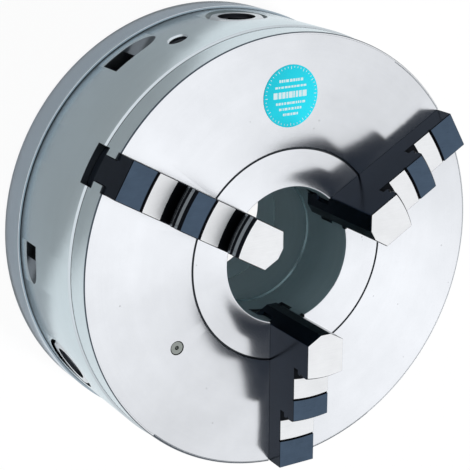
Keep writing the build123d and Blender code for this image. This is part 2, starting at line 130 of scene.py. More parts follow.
def heading(angle: float) -> Vector:
    """Gives the level unit vector at an angle in degrees."""
    return Vector((math.cos(math.radians(angle)), math.sin(math.radians(angle)), 0.0))


def axes(x_axis: Vector, y_axis: Vector, origin: Vector) -> Matrix:
    """Builds a local frame.

    Args:
        x_axis: The frame's x direction.
        y_axis: The frame's y direction, square to x.
        origin: Its origin, in millimetres.

    Returns:
        A matrix that takes local millimetres to the model's metres.
    """
    z_axis = x_axis.cross(y_axis)
    turn = Matrix((x_axis, y_axis, z_axis)).transposed().to_4x4()
    return Matrix.Scale(MM, 4) @ Matrix.Translation(origin) @ turn


def radial_axes(angle: float, distance: float, height: float) -> Matrix:
    """Frame with z outwards at an angle, y up and x counter-clockwise round the chuck."""
    outward = heading(angle)
    return axes(heading(angle + 90), Vector((0, 0, 1)), outward * distance + Vector((0, 0, height)))


def soften(points: list[Point], size: float) -> list[Point]:
    """Breaks each corner of a closed outline with a small flat.

    Args:
        points: The outline's corners.
        size: How far the flat's ends lie from the corner.

    Returns:
        The outline with two points in place of each corner.
    """
    broken = []
    for index, corner in enumerate(points):
        here = Vector(corner)
        for neighbour in (points[index - 1], points[(index + 1) % len(points)]):
            away = Vector(neighbour) - here
            step = min(size, away.length * 0.4)
            broken.append(tuple(here + away.normalized() * step))
    return broken


def turn(name: str, profile: list[Point], steps: int) -> bpy.types.Object:
    """Turns a closed profile round the chuck's axis, as on a lathe.

    Args:
        name: The new object's name.
        profile: Corners as (radius, height) in millimetres.
        steps: Segments in the full turn.

    Returns:
        The turned object, closed, with its normals outwards.
    """
    deselect()
    bpy.ops.mesh.primitive_circle_add(vertices=len(profile), radius=MM)
    obj = bpy.context.object
    obj.name = obj.data.name = name
    for vertex, (radius, height) in zip(obj.data.vertices, profile):
        vertex.co = (radius * MM, 0.0, height * MM)
    edit_all(obj)
    bpy.ops.mesh.spin(steps=steps, angle=FULL_TURN, center=(0, 0, 0), axis=(0, 0, 1))
    bpy.ops.mesh.select_all(action="SELECT")
    bpy.ops.mesh.remove_doubles(threshold=MM * 0.001)
    bpy.ops.mesh.delete_loose(use_verts=True, use_edges=True, use_faces=False)
    bpy.ops.mesh.select_all(action="SELECT")
    bpy.ops.mesh.normals_make_consistent(inside=False)
    close_edit()
    return obj


def prism(name: str, outline: list[Point], frame: Matrix, length: float) -> bpy.types.Object:
    """Extrudes a flat outline along its frame's z.

    Args:
        name: The new object's name.
        outline: Corners in the frame's x and y, in millimetres.
        frame: The frame that holds the outline.
        length: How far it is extruded, in millimetres.

    Returns:
        The closed prism.
    """
    deselect()
    bpy.ops.mesh.primitive_circle_add(vertices=len(outline), radius=1.0)
    obj = bpy.context.object
    obj.name = obj.data.name = name
    for vertex, (x, y) in zip(obj.data.vertices, outline):
        vertex.co = (x, y, 0.0)
    edit_all(obj)
    bpy.ops.mesh.edge_face_add()
    bpy.ops.mesh.extrude_region_move(TRANSFORM_OT_translate={"value": (0, 0, length)})
    bpy.ops.mesh.select_all(action="SELECT")
    close_edit()
    obj.data.transform(frame)
    edit_all(obj)
    bpy.ops.mesh.normals_make_consistent(inside=False)
    close_edit()
    return obj


def rod(name: str, radii: Point, length: float, frame: Matrix, sides: int = 96) -> bpy.types.Object:
    """Makes a round rod or cone along its frame's z.

    Args:
        name: The new object's name.
        radii: Radius at the start and at the end, in millimetres.
        length: Its length, in millimetres.
        frame: The frame at the middle of its start.
        sides: Segments round it.

    Returns:
        The closed rod.
    """
    deselect()
    bpy.ops.mesh.primitive_cone_add(vertices=sides, radius1=radii[0], radius2=radii[1], depth=length,
                                    location=(0, 0, length / 2))
    obj = bpy.context.object
    obj.name = obj.data.name = name
    bpy.ops.object.transform_apply(location=True)
    obj.data.transform(frame)
    edit_all(obj)
    bpy.ops.mesh.normals_make_consistent(inside=False)
    close_edit()
    return obj


def join(parts: list[bpy.types.Object]) -> bpy.types.Object:
    """Joins objects into the first of them."""
    if len(parts) > 1:
        activate(parts[0])
        for part in parts:
            part.select_set(True)
        bpy.ops.object.join()
    return parts[0]


def cut(obj: bpy.types.Object, cutters: list[bpy.types.Object]) -> None:
    """Takes cutters that don't touch each other out of an object, and deletes them."""
    cutter = join(cutters)
    activate(obj)
    modifier = obj.modifiers.new("cut", "BOOLEAN")
    modifier.operation = "DIFFERENCE"
    modifier.solver = "EXACT"
    modifier.object = cutter
    bpy.ops.object.modifier_apply(modifier=modifier.name)
    bpy.data.objects.remove(cutter)


def copy_of(node: bpy.types.Object, name: str) -> bpy.types.Object:
    """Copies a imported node, welds its loose triangles and joins flat neighbours into larger faces."""
    obj = bpy.data.objects.new(name, node.data.copy())
    obj.data.name = name
    bpy.context.scene.collection.objects.link(obj)
    obj.data.materials.clear()
    edit_all(obj)
    bpy.ops.mesh.remove_doubles(threshold=MM * 0.002)
    bpy.ops.mesh.dissolve_limited(angle_limit=math.radians(0.6))
    close_edit()
    bpy.ops.mesh.customdata_custom_splitnormals_clear()
    return obj


def smooth(obj: bpy.types.Object, angle: float = 28.0) -> None:
    """Shades an object smooth, apart from edges sharper than an angle in degrees."""
    activate(obj)
    bpy.ops.object.shade_smooth_by_angle(angle=math.radians(angle))


def bevel_where(obj: bpy.types.Object, chosen: Callable[[Vector, Vector], bool], width: float,
                material: int) -> None:
    """Bevels the sharp edges whose two ends are chosen.

    Args:
        obj: The object to bevel.
        chosen: Says of an edge, by its ends in millimetres, whether it is bevelled.
        width: Width of the bevel in millimetres.
        material: Material slot of the new faces.
    """
    edit_all(obj)
    bpy.ops.mesh.select_mode(type="EDGE")
    bpy.ops.mesh.select_all(action="DESELECT")
    bpy.ops.mesh.edges_select_sharp(sharpness=math.radians(35))
    close_edit()
    for edge in obj.data.edges:
        ends = [obj.data.vertices[index].co / MM for index in edge.vertices]
        edge.select = edge.select and chosen(*ends)
    bpy.ops.object.mode_set(mode="EDIT")
    bpy.ops.mesh.bevel(offset=width * MM, segments=1, affect="EDGES", clamp_overlap=True, material=material)
    bpy.ops.mesh.select_mode(type="FACE")
    close_edit()


# ---------------------------------------------------------------- shader groups
class Marks(Enum):
    """Ways that a tool leaves its marks on a surface."""

    TURNED = "turned"
    GROUND = "ground"
    PLAIN = "plain"


class GroupBuilder:
    """Adds nodes and links to one shader node group with named sockets."""

    def __init__(self, name: str, inputs: dict[str, tuple[str, float]], outputs: Iterable[str]) -> None:
        """Makes the group and its sockets.

        Args:
            name: The group's name.
            inputs: Socket name to its type and default.
            outputs: Names of the value outputs.
        """
        self.tree = bpy.data.node_groups.new(name, "ShaderNodeTree")
        for label, (kind, default) in inputs.items():
            socket = self.tree.interface.new_socket(label, in_out="INPUT", socket_type=kind)
            if kind == "NodeSocketFloat":
                socket.default_value = default
        for label in outputs:
            self.tree.interface.new_socket(label, in_out="OUTPUT", socket_type="NodeSocketFloat")
        self.inputs = self.tree.nodes.new("NodeGroupInput")
        self.outputs = self.tree.nodes.new("NodeGroupOutput")

    def node(self, kind: str, settings: dict | None = None, **values: object) -> bpy.types.Node:
        """Adds a node, sets its properties, and links or sets its inputs by name."""
        node = self.tree.nodes.new(kind)
        for key, value in (settings or {}).items():
            setattr(node, key, value)
        for key, value in values.items():
            name = key.replace("_", " ").title()
            self.feed(node.inputs[int(key[1:])] if key[0] == "i" and key[1:].isdigit() else node.inputs[name],
                      value)
        return node

    def feed(self, socket: bpy.types.NodeSocket, value: object) -> None:
        """Links a socket to another one, or sets its value."""
        if isinstance(value, bpy.types.NodeSocket):
            self.tree.links.new(value, socket)
        else:
            socket.default_value = value

    def math(self, operation: str, first: object, second: object = 0.0, third: object = 0.0,
             clamp: bool = False) -> bpy.types.NodeSocket:
        """Adds a Math node and gives its output."""
        settings = {"operation": operation, "use_clamp": clamp}
        return self.node("ShaderNodeMath", settings, i0=first, i1=second, i2=third).outputs[0]

    def noise(self, vector: object, scale: object, detail: float, roughness: float = 0.5) -> bpy.types.NodeSocket:
        """Adds a noise texture and gives its value."""
        node = self.node("ShaderNodeTexNoise", {"noise_dimensions": "3D"}, vector=vector, scale=scale,
                         detail=detail, roughness=roughness)
        return node.outputs[0]


def turning_group() -> bpy.types.ShaderNodeTree:
    """Fine rings round the chuck's axis, as a lathe or a rotary grinder leaves them, and a painted reflection: a fan
    that goes light and dark twice round the axis.
    """
    build = GroupBuilder("turning_marks", {"Coordinate": ("NodeSocketVector", 0), "Pitch": ("NodeSocketFloat", 0.4),
                                           "Waver": ("NodeSocketFloat", 0.2)}, ("Height", "Tone", "Fan"))
    place = build.inputs.outputs["Coordinate"]
    split = build.node("ShaderNodeSeparateXYZ", vector=place)
    radius = build.node("ShaderNodeVectorMath", {"operation": "LENGTH"},
                        i0=build.node("ShaderNodeCombineXYZ", x=split.outputs[0], y=split.outputs[1]).outputs[0])
    drift = build.math("MULTIPLY", build.noise(place, 9.0, 2.0), build.inputs.outputs["Waver"])
    ring = build.math("DIVIDE", radius.outputs["Value"], build.math("MULTIPLY", build.inputs.outputs["Pitch"], MM))
    level = build.math("DIVIDE", split.outputs[2], build.math("MULTIPLY", build.inputs.outputs["Pitch"], MM))
    lines = build.node("ShaderNodeCombineXYZ", x=build.math("ADD", ring, drift), y=level, z=0.0)
    fine = build.noise(lines.outputs[0], 1.0, 3.0, 0.7)
    broad = build.noise(lines.outputs[0], 0.11, 2.0, 0.5)
    build.feed(build.outputs.inputs["Height"], fine)
    build.feed(build.outputs.inputs["Tone"],
               build.math("ADD", build.math("MULTIPLY", fine, 0.45), build.math("MULTIPLY", broad, 0.55)))
    # Painted reflection: a cosine of twice the angle round the axis, which some finishes add to their colour.
    around = build.math("MULTIPLY", build.math("ARCTAN2", split.outputs[1], split.outputs[0]), 2.0)
    build.feed(build.outputs.inputs["Fan"], build.math("COSINE", around))
    return build.tree


def grinding_group() -> bpy.types.ShaderNodeTree:
    """Straight fine lines along the x of the coordinate, as a surface grinder leaves them."""
    build = GroupBuilder("grinding_marks", {"Coordinate": ("NodeSocketVector", 0), "Pitch": ("NodeSocketFloat", 0.4),
                                            "Waver": ("NodeSocketFloat", 0.2)}, ("Height", "Tone"))
    scaled = build.node("ShaderNodeVectorMath", {"operation": "MULTIPLY"}, i0=build.inputs.outputs["Coordinate"],
                        i1=(60.0, 1000.0, 1000.0))
    spread = build.node("ShaderNodeVectorMath", {"operation": "SCALE"}, i0=scaled.outputs[0],
                        i3=build.math("DIVIDE", 1.0, build.inputs.outputs["Pitch"]))
    fine = build.noise(spread.outputs[0], 1.0, 3.0, 0.65)
    broad = build.noise(build.inputs.outputs["Coordinate"], 60.0, 2.0)
    drift = build.math("MULTIPLY", broad, build.inputs.outputs["Waver"])
    build.feed(build.outputs.inputs["Height"], fine)
    build.feed(build.outputs.inputs["Tone"], build.math("ADD", build.math("MULTIPLY", fine, 0.6), drift))
    return build.tree


def patina_group() -> bpy.types.ShaderNodeTree:
    """Slow changes of tone, with oil haze and small specks."""
    build = GroupBuilder("patina", {"Coordinate": ("NodeSocketVector", 0), "Size": ("NodeSocketFloat", 20.0)},
                         ("Cloud", "Specks"))
    place = build.inputs.outputs["Coordinate"]
    scale = build.math("DIVIDE", 1.0 / MM, build.inputs.outputs["Size"])
    cloud = build.noise(place, scale, 4.0, 0.55)
    cells = build.node("ShaderNodeTexVoronoi", vector=place, scale=build.math("MULTIPLY", scale, 7.0))
    speck = build.math("LESS_THAN", cells.outputs["Distance"], 0.10)
    rare = build.math("GREATER_THAN", build.noise(place, build.math("MULTIPLY", scale, 3.0), 1.0), 0.62)
    build.feed(build.outputs.inputs["Cloud"], cloud)
    build.feed(build.outputs.inputs["Specks"], build.math("MULTIPLY", speck, rare))
    return build.tree


def wear_group() -> bpy.types.ShaderNodeTree:
    """Mask of the outer edges, broken up by noise."""
    build = GroupBuilder("edge_wear", {"Coordinate": ("NodeSocketVector", 0), "Width": ("NodeSocketFloat", 0.5)},
                         ("Mask",))
    rounded = build.node("ShaderNodeBevel", {"samples": 4},
                         radius=build.math("MULTIPLY", build.inputs.outputs["Width"], MM))
    flat = build.node("ShaderNodeNewGeometry")
    turn_ = build.node("ShaderNodeVectorMath", {"operation": "DOT_PRODUCT"}, i0=rounded.outputs[0],
                       i1=flat.outputs["Normal"])
    edge = build.math("SUBTRACT", 1.0, turn_.outputs["Value"])
    broken = build.noise(build.inputs.outputs["Coordinate"], 700.0, 3.0, 0.7)
    sharp = build.math("MULTIPLY", build.math("SUBTRACT", build.math("MULTIPLY", edge, 9.0), broken), 2.0, clamp=True)
    build.feed(build.outputs.inputs["Mask"], sharp)
    return build.tree


@dataclass(frozen=True)
class MetalFinish:
    """One metal surface: its colour and gloss, the marks of its making, and on some a painted reflection fan by angle
    round the axis.
    """

    name: str
    tone: Colour
    roughness: float
    marks: Marks = Marks.PLAIN
    pitch: float = 0.4
    depth: float = 0.02
    tone_spread: float = 0.10
    rough_spread: float = 0.08
    cloud_size: float = 25.0
    wear: float = 0.0
    wear_tone: Colour = (0.55, 0.57, 0.60)
    metallic: float = 1.0
    # heading turns the coordinates round the axis and so places the painted reflection fan; the last field sets that
    # painted reflection's strength.
    heading: float = 0.0
    streaks: float = 1.0
    painted_reflection_fan: float = 0.0

    def build(self, groups: dict[str, bpy.types.ShaderNodeTree]) -> bpy.types.Material:
        """Makes the material.

        Args:
            groups: The shared node groups by name.

        Returns:
            The material, ready for a slot.
        """
        material = bpy.data.materials.new(self.name)
        material.use_nodes = True
        tree = material.node_tree
        shader = tree.nodes["Principled BSDF"]
        shader.inputs["Metallic"].default_value = self.metallic
        link = tree.links.new

        def add(kind: str, **settings: object) -> bpy.types.Node:
            """Adds a node with some of its properties set."""
            node = tree.nodes.new(kind)
            for key, value in settings.items():
                setattr(node, key, value)
            return node

        def group(name: str, **values: float) -> bpy.types.Node:
            """Places a shared group, fed by the object's coordinates."""
            node = add("ShaderNodeGroup", node_tree=groups[name])
            link(mapping.outputs[0], node.inputs["Coordinate"])
            for key, value in values.items():
                node.inputs[key].default_value = value
            return node

        def arithmetic(operation: str, first: object, second: object, clamp: bool = False) -> bpy.types.NodeSocket:
            """Adds a Math node and gives its output."""
            node = add("ShaderNodeMath", operation=operation, use_clamp=clamp)
            for socket, value in zip(node.inputs, (first, second)):
                if isinstance(value, bpy.types.NodeSocket):
                    link(value, socket)
                else:
                    socket.default_value = value
            return node.outputs[0]

        def mix(factor: object, first: object, second: object) -> bpy.types.NodeSocket:
            """Mixes two colours."""
            node = add("ShaderNodeMix", data_type="RGBA")
            for socket, value in zip((node.inputs[0], node.inputs[6], node.inputs[7]), (factor, first, second)):
                if isinstance(value, bpy.types.NodeSocket):
                    link(value, socket)
                else:
                    socket.default_value = value
            return node.outputs[2]

        coordinate = add("ShaderNodeTexCoord")
        mapping = add("ShaderNodeMapping")
        # The heading turns the coordinates round the axis, which places the light and dark lobes of the painted
        # reflection fan.
        mapping.inputs["Rotation"].default_value = (0.0, 0.0, -math.radians(self.heading))
        link(coordinate.outputs["Object"], mapping.inputs["Vector"])
        patina = group("patina", Size=self.cloud_size)
        spread = arithmetic("MULTIPLY", arithmetic("SUBTRACT", patina.outputs["Cloud"], 0.5), 2.0)
        rough = arithmetic("ADD", self.roughness, arithmetic("MULTIPLY", spread, self.rough_spread))
        tone = arithmetic("MULTIPLY", spread, 0.4)
        if self.marks is not Marks.PLAIN:
            marks = group("turning_marks" if self.marks is Marks.TURNED else "grinding_marks", Pitch=self.pitch)
            streak = arithmetic("SUBTRACT", marks.outputs["Tone"], 0.5)
            tone = arithmetic("ADD", tone, arithmetic("MULTIPLY", streak, self.streaks))
            rough = arithmetic("ADD", rough, arithmetic("MULTIPLY", streak, self.rough_spread))
            bump = add("ShaderNodeBump")
            bump.inputs["Strength"].default_value = 1.0
            bump.inputs["Distance"].default_value = self.depth * MM
            link(marks.outputs["Height"], bump.inputs["Height"])
            link(bump.outputs[0], shader.inputs["Normal"])
        # Painted reflection: lightens and darkens the colour by angle round the axis.
        if self.painted_reflection_fan > 0:
            tone = arithmetic("ADD", tone, arithmetic("MULTIPLY", marks.outputs["Fan"], self.painted_reflection_fan))
        dark = tuple(max(0.0, c * (1 - self.tone_spread)) for c in self.tone) + (1.0,)
        light = tuple(min(1.0, c * (1 + self.tone_spread)) for c in self.tone) + (1.0,)
        colour = mix(arithmetic("ADD", tone, 0.5, clamp=True), dark, light)
        colour = mix(arithmetic("MULTIPLY", patina.outputs["Specks"], self.tone_spread * 2), colour,
                     tuple(c * 0.35 for c in self.tone) + (1.0,))
        if self.wear > 0:
            wear = group("edge_wear", Width=self.wear)
            colour = mix(wear.outputs["Mask"], colour, self.wear_tone + (1.0,))
        link(colour, shader.inputs["Base Color"])
        link(arithmetic("MAXIMUM", rough, 0.04), shader.inputs["Roughness"])
        return material


class Finish(Enum):
    """Every finish on the chuck."""

    # The face, the side and the cover's side have a painted reflection in their colour: a fan, lighter and darker by
    # angle round the axis.
    GROUND_FACE = MetalFinish("ground_face", (0.82, 0.83, 0.858), 0.2, Marks.TURNED, 0.6, 0.005, 0.16, 0.05, 40,
                              heading=147.0, streaks=0.25, painted_reflection_fan=0.36)
    GROUND_SIDE = MetalFinish("ground_side", (0.71, 0.81, 0.85), 0.22, Marks.TURNED, 0.6, 0.006, 0.07, 0.05, 40,
                              heading=55.0, painted_reflection_fan=0.5)
    COVER_SIDE = MetalFinish("ground_cover_side", (0.66, 0.74, 0.81), 0.20, Marks.TURNED, 0.6, 0.006, 0.07, 0.05,
                             30, heading=55.0, painted_reflection_fan=0.3)
    LEDGE = MetalFinish("cover_ledge", (0.34, 0.40, 0.45), 0.25, Marks.TURNED, 0.4, 0.008, 0.1, 0.05)
    BRIGHT_EDGE = MetalFinish("bright_edge", (0.66, 0.72, 0.76), 0.2, Marks.TURNED, 0.3, 0.006, 0.08, 0.05)
    # Painted reflection: a dark colour laid on the face's rim over part of the turn.
    RIM_LINE = MetalFinish("rim_line", (0.085, 0.10, 0.12), 0.3, Marks.TURNED, 0.3, 0.01, 0.2, 0.05)
    # Painted reflection: a dark colour for the lower facets of the face's edge chamfer.
    DARK_EDGE = MetalFinish("dark_edge", (0.075, 0.095, 0.12), 0.25, Marks.TURNED, 0.3, 0.01, 0.2, 0.05)
    # Near black: a dark joint line at the body's lower edge, and painted shade in the hub groove, at the foot of the
    # step and on the cover's ledge next to the body.
    GROOVE = MetalFinish("groove_dark", (0.03, 0.034, 0.04), 0.45, Marks.TURNED, 0.3, 0.01, 0.2, 0.1)
    BORE = MetalFinish("bored_dark", (0.40, 0.50, 0.53), 0.40, Marks.TURNED, 0.5, 0.012, 0.14, 0.08, metallic=0.75)
    BORE_LINE = MetalFinish("bored_line", (0.42, 0.50, 0.52), 0.25, Marks.PLAIN, tone_spread=0.1)
    # Painted shade: a dark steel tone for the pockets, windows, slots and holes.
    POCKET = MetalFinish("milled_pocket", (0.16, 0.18, 0.20), 0.35, Marks.GROUND, 0.8, 0.03, 0.25, 0.1)
    MOUTH = MetalFinish("chamfered_mouth", (0.12, 0.15, 0.16), 0.3, Marks.PLAIN, tone_spread=0.2, cloud_size=6)
    COVER_BACK = MetalFinish("turned_back", (0.62, 0.66, 0.69), 0.28, Marks.TURNED, 0.8, 0.012, 0.08, 0.06)
    JAW_FLANK = MetalFinish("jaw_black_oxide", (0.010, 0.017, 0.030), 0.2, Marks.GROUND, 0.6, 0.004, 0.25, 0.05,
                            12)
    JAW_TOP = MetalFinish("jaw_blue_oxide", (0.066, 0.097, 0.142), 0.3, Marks.GROUND, 0.6, 0.008, 0.22, 0.06, 6)
    JAW_SEAT = MetalFinish("jaw_ground_seat", (0.87, 0.87, 0.878), 0.40, Marks.GROUND, 0.6, 0.008, 0.10, 0.05,
                           12)
    JAW_RIB = MetalFinish("jaw_ground_rib", (0.19, 0.21, 0.225), 0.22, Marks.GROUND, 0.5, 0.01, 0.12, 0.05, 10)
    JAW_TEETH = MetalFinish("jaw_teeth", (0.13, 0.15, 0.16), 0.28, Marks.GROUND, 0.6, 0.01, 0.3, 0.05, 8)
    # Black for the jaws' edges and lines, and the painted shade in a band at the foot of each riser.
    JAW_LINE = MetalFinish("jaw_line_black", (0.006, 0.007, 0.009), 0.4, Marks.PLAIN, tone_spread=0.2)
    PINION = MetalFinish("pinion_ground", (0.70, 0.74, 0.77), 0.22, Marks.GROUND, 0.4, 0.01, 0.12, 0.06, 8)
    # Painted shade: near black inside the pinions' key sockets and the lifting hole's thread.
    SOCKET = MetalFinish("pinion_socket", (0.05, 0.055, 0.065), 0.35, Marks.PLAIN, tone_spread=0.3)
    SCROLL = MetalFinish("scroll_oiled", (0.34, 0.35, 0.36), 0.25, Marks.TURNED, 0.5, 0.01, 0.2, 0.08, 10)
    SCREW = MetalFinish("screw_black_oxide", (0.035, 0.037, 0.042), 0.3, Marks.PLAIN, tone_spread=0.3,
                        cloud_size=4, wear=0.3)
    DOWEL = MetalFinish("dowel_ground", (0.6, 0.61, 0.62), 0.2, Marks.GROUND, 0.4, 0.01, 0.1)
    OILER = MetalFinish("oiler_brass", (0.30, 0.32, 0.30), 0.3, Marks.PLAIN, tone_spread=0.2, cloud_size=3)
    BALL = MetalFinish("ball_polished", (0.7, 0.7, 0.72), 0.08, Marks.PLAIN, tone_spread=0.05, cloud_size=2)
    FOIL = MetalFinish("badge_foil", (0.0, 0.74, 0.90), 0.35, Marks.PLAIN, tone_spread=0.06, cloud_size=6,
                       metallic=0.0)
    PRINT = MetalFinish("badge_print", (0.75, 0.93, 0.97), 0.4, Marks.PLAIN, tone_spread=0.05, cloud_size=3,
                        metallic=0.0)


class Workshop:
    """Keeps the finished materials and puts them on pieces."""

    def __init__(self) -> None:
        """Builds the shared groups and every finish once."""
        groups = {g.name: g for g in (turning_group(), grinding_group(), patina_group(), wear_group())}
        self.materials = {finish: finish.value.build(groups) for finish in Finish}
        self.made: list[bpy.types.Object] = []

    def dress(self, obj: bpy.types.Object, finishes: list[Finish]) -> None:
        """Gives an object its material slots."""
        obj.data.materials.clear()
        for finish in finishes:
            obj.data.materials.append(self.materials[finish])

    def paint(self, obj: bpy.types.Object, choose: Callable[[Vector, Vector], Finish]) -> None:
        """Gives each face the finish chosen by its middle, in millimetres, and its normal.

        Args:
            obj: The object to paint.
            choose: Picks a finish from the face's middle and normal.
        """
        picked = [choose(face.center / MM, face.normal.copy()) for face in obj.data.polygons]
        order = sorted(set(picked), key=lambda finish: finish.name)
        self.dress(obj, order)
        for face, finish in zip(obj.data.polygons, picked):
            face.material_index = order.index(finish)

    def place(self, obj: bpy.types.Object, body: str, slot: str, replaces: str | None = None) -> None:
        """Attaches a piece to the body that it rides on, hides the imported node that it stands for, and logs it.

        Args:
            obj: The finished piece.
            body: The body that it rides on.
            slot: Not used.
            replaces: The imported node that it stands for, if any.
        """
        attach(obj, body)
        if replaces:
            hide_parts(replaces)
        self.made.append(obj)
        LOG.info("%s rides on %s with %d faces", obj.name, body, len(obj.data.polygons))


# ---------------------------------------------------------------- housing
@dataclass
class ChuckBody:
    """The front housing: rim, face and hub in one casting, with slots, bores and side windows."""

    body_radius: float = 124.5
    band_radius: float = 123.4
    face_radius: float = 122.2
    face_z: float = 100.0
    step_z: float = 82.0
    joint_z: float = 19.5
    joint_chamfer: float = 0.6
    bore_radius: float = 38.0
    back_chamfer: float = 1.0
    bore_line_z: float = 25.5
    bore_line: float = 0.35
    front_bore_radius: float = 38.9
    front_bore_z: float = 61.0
    front_chamfer: float = 0.5
    hub_radius: float = 46.0
    hub_bottom_z: float = 5.0
    cavity_radius: float = 104.5
    ceiling_z: float = 82.8
    hub_groove_radius: float = 60.5
    hub_groove_width: float = 1.1
    hub_groove_depth: float = 0.7
    slot_half_width: float = 11.4
    neck_half_width: float = 7.5
    slot_floor_z: float = 76.0
    guide_bottom_z: float = 87.0
    guide_top_z: float = 97.0
    pinion_z: float = 43.5
    pinion_bore_radius: float = 15.56
    mouth_chamfer: float = 1.6
    window_middle_angle: float = 30.0
    window_middle_z: float = 34.3
    windows: tuple[tuple[int, float, float, float], ...] = ((-1, 15.2, 23.4, 37.9), (1, 12.4, 26.0, 36.2))
    window_floor_radius: float = 108.0
    window_run_radius: float = 123.2
    window_run_slope: float = 25.0
    lifting_angle: float = 110.3
    lifting_z: float = 54.0
    lifting_radius: float = 5.1
    lifting_depth: float = 18.0
    lifting_mouth: float = 6.1
    thread_pitch: float = 1.75
    thread_turns: int = 5
    mount_circle: float = 112.0
    mount_radius: float = 5.1
    mount_end_z: float = 44.0
    # Start, as an angle round the axis, of the painted dark reflection on the face's rim.
    painted_reflection_from: float = 226.0
    cone_limit: float = 0.9
    # How far round the painted dark reflection runs on the lip, and on the rim groove.
    painted_reflection_lip_turn: float = 72.0
    painted_reflection_groove_turn: float = 190.0
    oiler_line: float = 0.5
    oiler_place: Point = (81.0, 210.0)
    oiler_radius: float = 3.55
    oiler_depth: float = 8.0
    steps: int = 360

    def profile(self) -> list[Point]:
        """Gives the turned section, with the hub groove in the face."""
        groove_in = self.hub_groove_radius - self.hub_groove_width / 2
        groove_out = self.hub_groove_radius + self.hub_groove_width / 2
        shoulder = self.body_radius - self.band_radius
        line, step = self.bore_line, self.front_bore_radius - self.bore_radius
        return [
            (self.bore_radius + self.back_chamfer, self.hub_bottom_z),
            (self.bore_radius, self.hub_bottom_z + self.back_chamfer),
            (self.bore_radius, self.bore_line_z - line), (self.bore_radius + line, self.bore_line_z),
            (self.bore_radius, self.bore_line_z + line), (self.bore_radius, self.front_bore_z - step),
            (self.front_bore_radius, self.front_bore_z),
            (self.front_bore_radius, self.face_z - self.front_chamfer),
            (self.front_bore_radius + self.front_chamfer, self.face_z),
            (groove_in, self.face_z), (self.hub_groove_radius, self.face_z - self.hub_groove_depth),
            (groove_out, self.face_z), (self.face_radius - 0.4, self.face_z),
            (self.face_radius - 0.12, self.face_z - 0.2), (self.face_radius + 0.15, self.face_z),
            (self.face_radius + 0.5, self.face_z - 0.2), (self.face_radius + 0.8, self.face_z - 0.55),
            (self.band_radius, self.face_z - 1.35), (self.band_radius, self.step_z + shoulder + 0.35),
            (self.band_radius + 0.1, self.step_z + shoulder - 0.1),
            (self.body_radius, self.step_z), (self.body_radius, self.joint_z + self.joint_chamfer),
            (self.body_radius - self.joint_chamfer, self.joint_z), (self.cavity_radius, self.joint_z),
            (self.cavity_radius, self.ceiling_z), (self.hub_radius, self.ceiling_z),
            (self.hub_radius, self.hub_bottom_z)]

    def slot_cutter(self, angle: float) -> bpy.types.Object:
        """Makes the cutter of one jaw slot, with room left for its two guide ribs."""
        wide, neck = self.slot_half_width, self.neck_half_width
        top = self.face_z + 1.0
        half = [(wide, self.slot_floor_z), (wide, self.guide_bottom_z), (neck, self.guide_bottom_z),
                (neck, self.guide_top_z), (wide, self.guide_top_z), (wide, top)]
        outline = half + [(-x, z) for x, z in reversed(half)]
        return prism("slot", outline, radial_axes(angle, 0.0, 0.0), self.body_radius + 5)

    def window_cutters(self, angle: float, side: int, height: float, edge_angle: float,
                       run_angle: float) -> list[bpy.types.Object]:
        """Makes the square and the slanting round cutter of one side window.

        Args:
            angle: The jaw's angle.
            side: 1 for the window counter-clockwise from the jaw, -1 for the other.
            height: The window's height.
            edge_angle: Angle from the jaw to the window's straight edge.
            run_angle: Angle from the jaw to the end of the run-out.

        Returns:
            The two cutters.
        """
        middle = angle + side * self.window_middle_angle
        edge = self.body_radius * math.sin(math.radians(self.window_middle_angle - edge_angle))
        half = height / 2
        outline = [(0.0, -half), (-side * edge, -half), (-side * edge, half), (0.0, half)]
        frame = radial_axes(middle, self.window_floor_radius, self.window_middle_z)
        square = prism("window", outline, frame, 30.0)
        run = math.radians(run_angle - self.window_middle_angle)
        slope = math.radians(self.window_run_slope)
        outward, round_ = heading(middle), heading(middle + 90 * side)
        along = outward * math.sin(slope) + round_ * math.cos(slope)
        square_to = outward * math.cos(slope) - round_ * math.sin(slope)
        centre = outward * self.window_run_radius + round_ * (self.body_radius * math.sin(run)) + square_to * half
        start = centre - along * (centre.dot(round_) / math.cos(slope)) + Vector((0, 0, self.window_middle_z))
        frame = axes(square_to, along.cross(square_to), start)
        return [square, rod("window_run", (half, half), 2 * self.body_radius, frame, 64)]

    def cut_lifting_hole(self, body: bpy.types.Object) -> None:
        """Cuts the lifting hole with one turned tool: a drill with thread rings and a countersink."""
        small, large, half = self.lifting_radius, self.lifting_mouth, self.thread_pitch / 2
        start = self.lifting_depth - 1.6 - self.thread_turns * self.thread_pitch
        outline = [(0.0, 0.0), (small, 0.0), (small, start)]
        for index in range(self.thread_turns):
            low = start + index * self.thread_pitch
            outline += [(large - 0.1, low + half), (small, low + self.thread_pitch)]
        outline += [(small, self.lifting_depth - (large - small)), (large + 2.0, self.lifting_depth + 2.0),
                    (0.0, self.lifting_depth + 2.0)]
        tool = turn("lift", outline, 48)
        place = radial_axes(self.lifting_angle, self.body_radius - self.lifting_depth, self.lifting_z)
        tool.data.transform(place @ Matrix.Scale(1 / MM, 4))
        cut(body, [tool])

